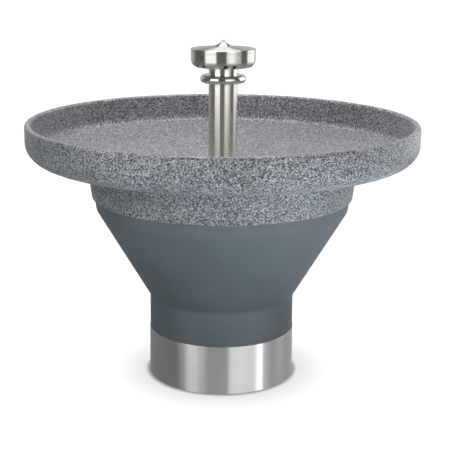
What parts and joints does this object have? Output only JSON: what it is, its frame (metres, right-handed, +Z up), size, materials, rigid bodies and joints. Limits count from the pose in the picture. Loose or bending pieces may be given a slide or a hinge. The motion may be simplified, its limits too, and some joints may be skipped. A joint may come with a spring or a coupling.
{
  "type": "round group wash fountain",
  "caption": "Round pedestal wash fountain: a shallow bowl with a central column and an infrared spray head, and its plumbing behind a rear access panel.",
  "frame": {"origin": "on the floor, on the axis of the bowl and the column", "axes": "+Z up along the column; -Y is the front, where a user stands; +Y is the rear, where the access panel pulls off; +X is to the right seen from the front"},
  "size_m": [1.3716, 1.3716, 1.196],
  "materials": {
    "bowl": "satin",
    "shell": "satin",
    "brushed": "brushed",
    "polished": "polished",
    "frame": "matte",
    "zinc": "satin",
    "brass": "satin",
    "copper": "satin",
    "rubber": "matte",
    "black_plastic": "matte",
    "white_plastic": "satin",
    "grey_plastic": "satin",
    "window": "gloss",
    "hot_handle": "gloss",
    "cold_handle": "gloss",
    "board": "satin"
  },
  "bodies": {
    "fountain": {"bowl": "bowl", "bowl_bolts": "zinc", "bowl_pads": "rubber", "bowl_skirt": "bowl", "column_bolts": "zinc", "column_gasket": "rubber", "column_tube": "brushed", "control_box": "grey_plastic", "cover_gasket": "rubber", "cover_stud": "zinc", "drain_flange": "polished", "drain_gasket": "rubber", "drain_locknut": "brass", "floor_ring": "frame", "frame_legs": "frame", "frame_top_plate": "frame", "head_shell": "brushed", "kick_ring": "brushed", "kick_ring_screws": "zinc", "manifold": "brass", "manifold_clips": "zinc", "mixing_valve_body": "brass", "neck_tube": "brushed", "p_trap": "white_plastic", "pedestal_shell": "shell", "power_conduit": "zinc", "riser_tubes": "grey_plastic", "sensor_board": "board", "sensor_cable": "black_plastic", "sensor_pods": "black_plastic", "sensor_windows": "window", "service_rails": "zinc", "shell_brackets": "zinc", "slip_nuts": "white_plastic", "solenoid_bodies": "brass", "solenoid_coils": "black_plastic", "spray_nozzles": "polished", "stop_valve_bodies": "brass", "stud_bridge": "zinc", "supply_pipes": "copper", "tailpiece": "brass", "trim_ring": "polished", "trim_ring_screws": "zinc", "waste_stack": "white_plastic"},
    "strainer": {"drain_strainer": "polished"},
    "cover": {"head_cover": "brushed"},
    "finial": {"finial_nut": "polished"},
    "rear_panel": {"access_panel": "shell", "panel_screws": "zinc"},
    "hot_handle": {"hot_stop_handle": "hot_handle"},
    "cold_handle": {"cold_stop_handle": "cold_handle"},
    "mixer_knob": {"mixing_valve_knob": "black_plastic"},
    "box_lid": {"control_box_lid": "grey_plastic"},
    "cleanout": {"cleanout_plug": "white_plastic"},
    "plunger_1": {"solenoid_plunger_1": "zinc"},
    "plunger_2": {"solenoid_plunger_2": "zinc"},
    "plunger_3": {"solenoid_plunger_3": "zinc"},
    "plunger_4": {"solenoid_plunger_4": "zinc"},
    "plunger_5": {"solenoid_plunger_5": "zinc"},
    "plunger_6": {"solenoid_plunger_6": "zinc"}
  },
  "joints": [
    {"name": "strainer_lift", "type": "slide", "parent": "fountain", "child": "strainer", "axis": [0, 0, 1], "range_m": [0, 0.06]},
    {"name": "cover_lift", "type": "slide", "parent": "fountain", "child": "cover", "axis": [0, 0, 1], "range_m": [0, 0.1]},
    {"name": "finial_turn", "type": "hinge", "parent": "cover", "child": "finial", "pos_m": [0, 0, 1.175], "axis": [0, 0, 1], "continuous": true},
    {"name": "panel_pull", "type": "slide", "parent": "fountain", "child": "rear_panel", "axis": [0, 1, 0], "range_m": [0, 0.35]},
    {"name": "hot_stop_turn", "type": "hinge", "parent": "fountain", "child": "hot_handle", "pos_m": [-0.08, 0.184, 0.25], "axis": [0, 1, 0], "range_deg": [0, 90]},
    {"name": "cold_stop_turn", "type": "hinge", "parent": "fountain", "child": "cold_handle", "pos_m": [0.08, 0.184, 0.25], "axis": [0, -1, 0], "range_deg": [0, 90]},
    {"name": "mixer_turn", "type": "hinge", "parent": "fountain", "child": "mixer_knob", "pos_m": [0, 0.18, 0.42], "axis": [0, 1, 0], "range_deg": [-90, 90]},
    {"name": "box_lid_pull", "type": "slide", "parent": "fountain", "child": "box_lid", "axis": [0, 1, 0], "range_m": [0, 0.035]},
    {"name": "cleanout_turn", "type": "hinge", "parent": "fountain", "child": "cleanout", "pos_m": [0, 0.036, 0.56], "axis": [0, 0, 1], "continuous": true},
    {"name": "plunger_1_stroke", "type": "slide", "parent": "fountain", "child": "plunger_1", "axis": [0, 1, 0], "range_m": [0, 0.0025], "stiffness_N_per_m": 300, "springref_m": -0.003},
    {"name": "plunger_2_stroke", "type": "slide", "parent": "fountain", "child": "plunger_2", "axis": [0, 1, 0], "range_m": [0, 0.0025], "stiffness_N_per_m": 300, "springref_m": -0.003},
    {"name": "plunger_3_stroke", "type": "slide", "parent": "fountain", "child": "plunger_3", "axis": [0, 1, 0], "range_m": [0, 0.0025], "stiffness_N_per_m": 300, "springref_m": -0.003},
    {"name": "plunger_4_stroke", "type": "slide", "parent": "fountain", "child": "plunger_4", "axis": [0, 1, 0], "range_m": [0, 0.0025], "stiffness_N_per_m": 300, "springref_m": -0.003},
    {"name": "plunger_5_stroke", "type": "slide", "parent": "fountain", "child": "plunger_5", "axis": [0, 1, 0], "range_m": [0, 0.0025], "stiffness_N_per_m": 300, "springref_m": -0.003},
    {"name": "plunger_6_stroke", "type": "slide", "parent": "fountain", "child": "plunger_6", "axis": [0, 1, 0], "range_m": [0, 0.0025], "stiffness_N_per_m": 300, "springref_m": -0.003}
  ]
}
